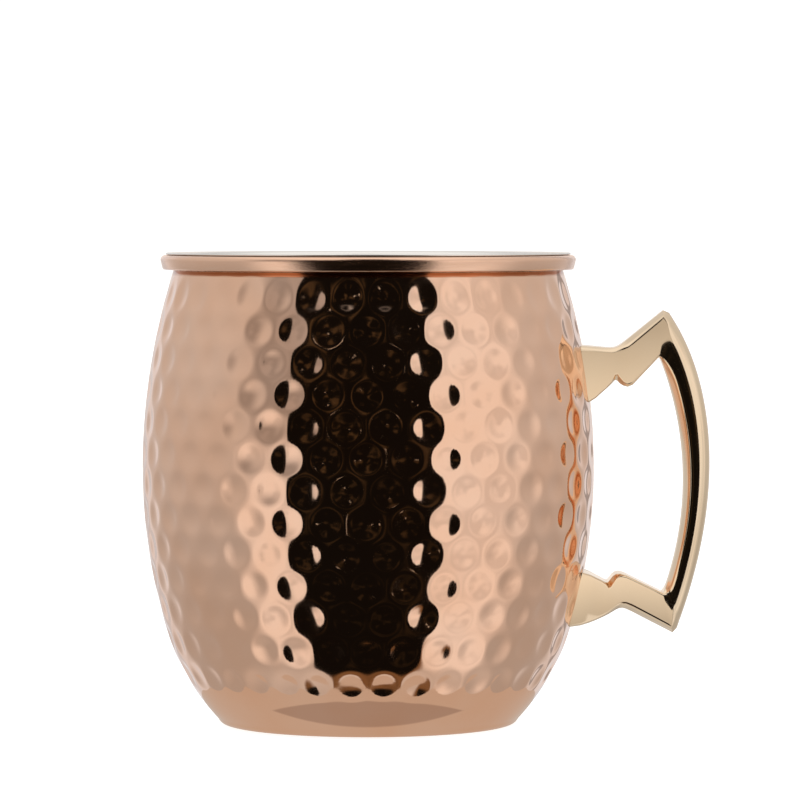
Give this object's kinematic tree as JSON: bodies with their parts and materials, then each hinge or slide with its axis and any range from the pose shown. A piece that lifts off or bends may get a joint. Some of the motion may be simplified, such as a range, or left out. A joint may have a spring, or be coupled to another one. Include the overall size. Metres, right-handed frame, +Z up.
{
  "type": "copper mug",
  "caption": "Barrel-shaped hammered copper drinking mug with a rolled rim, a steel liner and a kinked cast brass handle.",
  "frame": {"origin": "on the mug's axis, at the flat underside of the base", "axes": "+Z up along the mug's axis, +X out of the mug through the middle of the handle, +Y square to the handle's plane"},
  "size_m": [0.1181, 0.094, 0.098],
  "materials": {
    "copper": "hammered and polished copper, with a finely brushed rim",
    "steel": "spun satin stainless steel",
    "brass": "cast and polished pale brass",
    "rivet_steel": "satin stainless steel"
  },
  "bodies": {
    "root": {"outer_shell": "copper", "inner_liner": "steel", "handle": "brass", "upper_rivet": "rivet_steel", "upper_washer": "steel", "lower_rivet": "rivet_steel", "lower_washer": "steel"}
  },
  "joints": []
}
